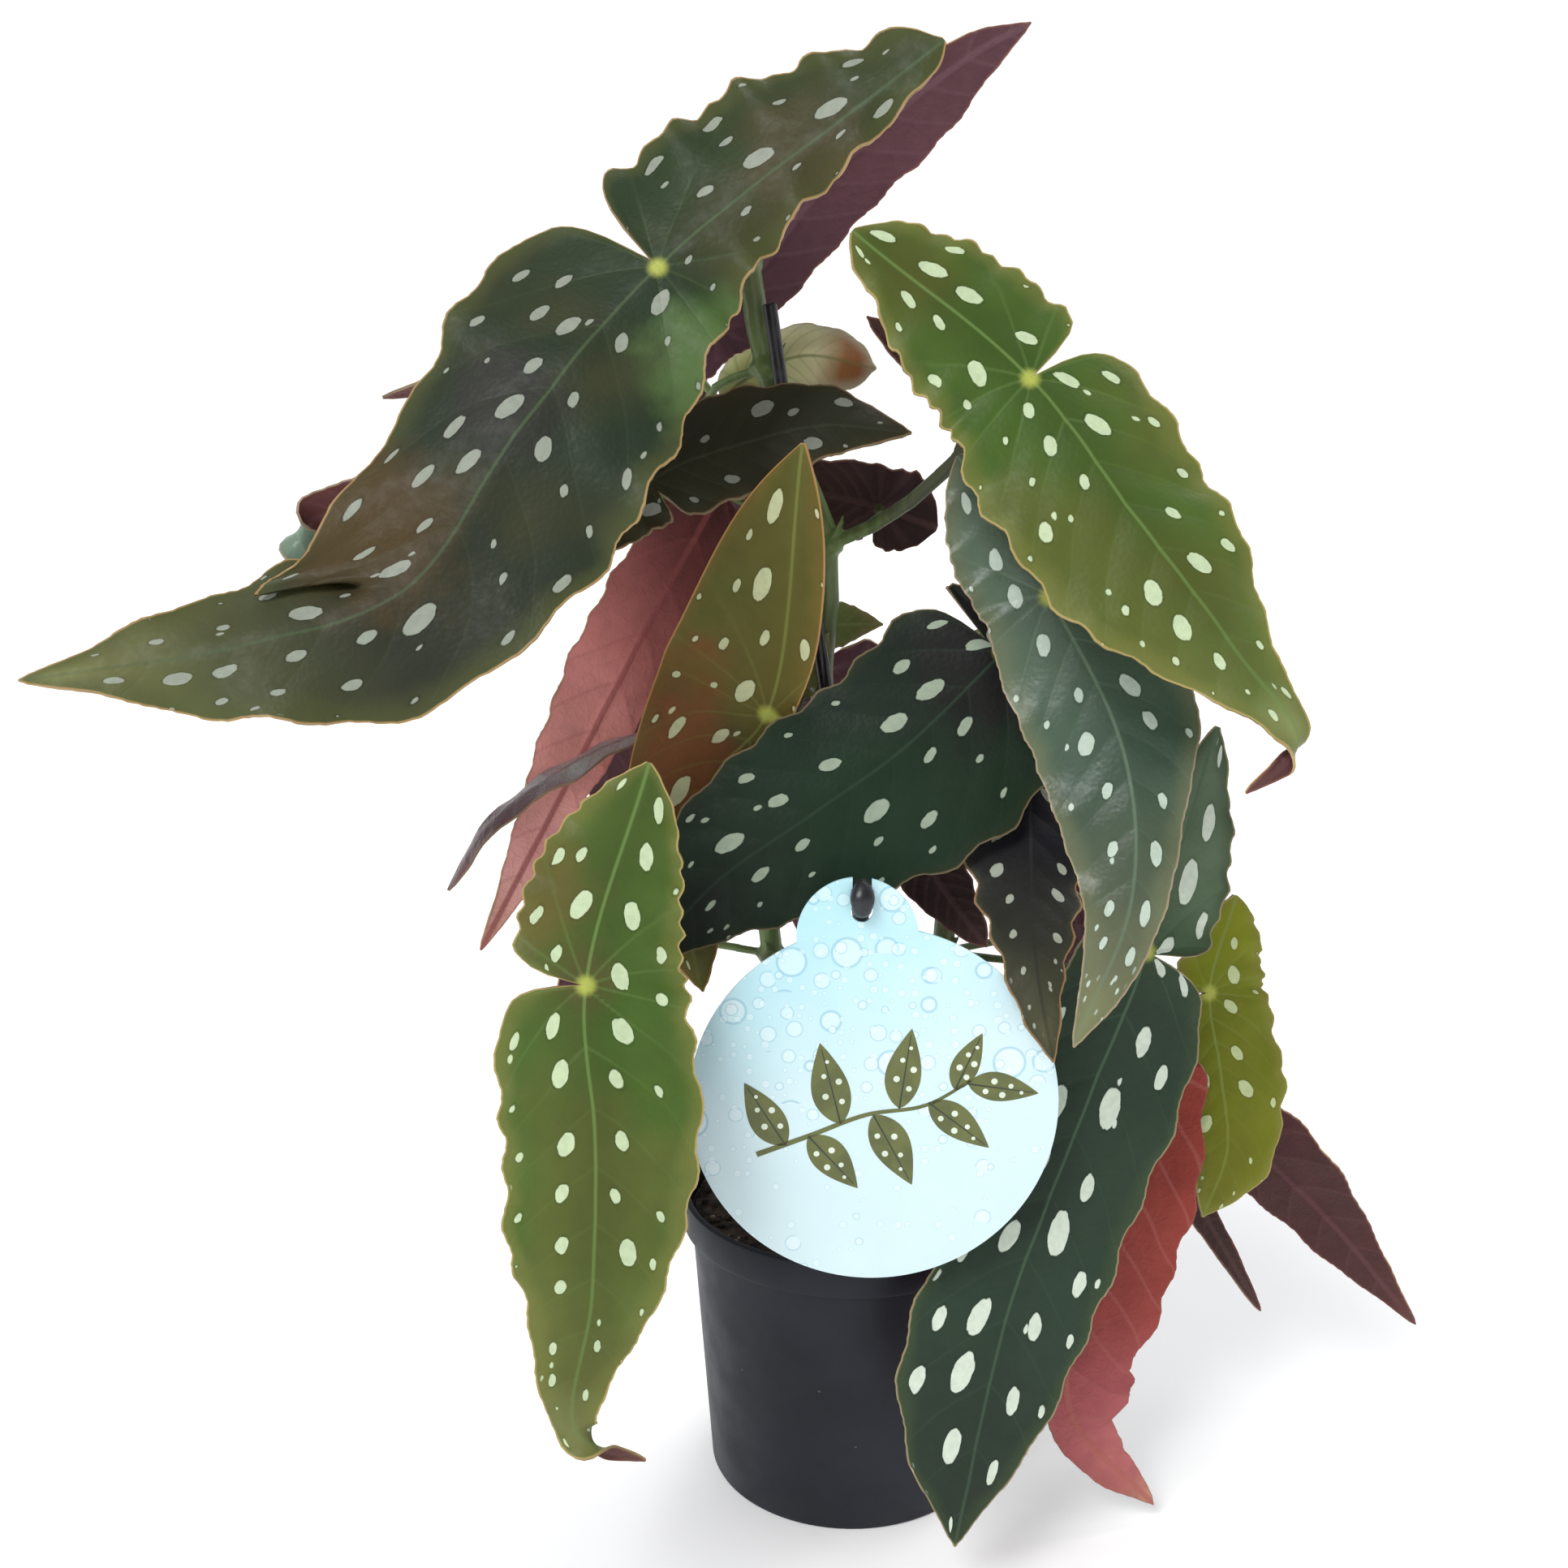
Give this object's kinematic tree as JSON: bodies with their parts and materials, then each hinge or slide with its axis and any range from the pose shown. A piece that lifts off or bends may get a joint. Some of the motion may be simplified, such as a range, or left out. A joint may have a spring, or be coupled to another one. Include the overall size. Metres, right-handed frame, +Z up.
{
  "type": "potted polka dot begonia",
  "caption": "Angel-wing begonia with spotted, drooping leaves on jointed canes, in a black nursery pot with a round plant tag on a hook.",
  "frame": {"origin": "centre of the underside of the pot's base", "axes": "+Z up along the pot's axis; -Y towards the side where the tag hangs; +X to the right seen from there"},
  "size_m": [0.4548, 0.2103, 0.4941],
  "materials": {
    "pot": "satin charcoal black",
    "soil": "rough, crumbly",
    "stem": "satin green with paler joints",
    "black_plastic": "satin black",
    "leaf_dark": "satin dark green with silver spots",
    "leaf_green": "satin mid green with silver spots",
    "leaf_lime": "satin yellow green with silver spots",
    "leaf_brown": "satin brown green with grey spots",
    "leaf_under": "matt maroon underside",
    "leaf_rose": "matt rose red underside",
    "young_leaf": "matt cream and yellow green with a rust edge",
    "tag": "smooth pale blue white print"
  },
  "bodies": {
    "root": {"pot": "pot", "soil": "soil", "cane_main": "stem", "cane_left": "stem", "cane_right": "stem", "support_stick": "black_plastic", "leaf_upper_left": "leaf_dark", "leaf_top_back": "leaf_under", "leaf_right": "leaf_green", "leaf_grey_right": "leaf_dark", "leaf_lower_left": "leaf_green", "leaf_lower_right": "leaf_dark", "leaf_lime_right": "leaf_lime", "leaf_rose_right": "leaf_rose", "leaf_maroon_right": "leaf_under", "leaf_dark_sliver": "leaf_under", "leaf_dark_tip": "leaf_brown", "leaf_middle": "leaf_dark", "leaf_olive": "leaf_lime", "leaf_rose_left": "leaf_rose", "leaf_edge_left": "leaf_under", "leaf_centre_back": "leaf_brown", "leaf_plum": "leaf_under", "leaf_small_maroon": "leaf_under", "leaf_curled_left": "leaf_under", "leaf_tip_left": "leaf_under", "leaf_behind_tag": "leaf_under", "leaf_far_top": "leaf_green", "leaf_far_left": "leaf_green", "leaf_far_right": "leaf_green", "leaf_far_middle": "leaf_green", "leaf_far_low_left": "leaf_green", "leaf_far_low_right": "leaf_green", "young_leaf_top": "young_leaf", "joint_bract": "leaf_lime", "young_leaf_middle": "leaf_lime", "plant_tag": "tag", "tag_hook": "black_plastic"}
  },
  "joints": []
}
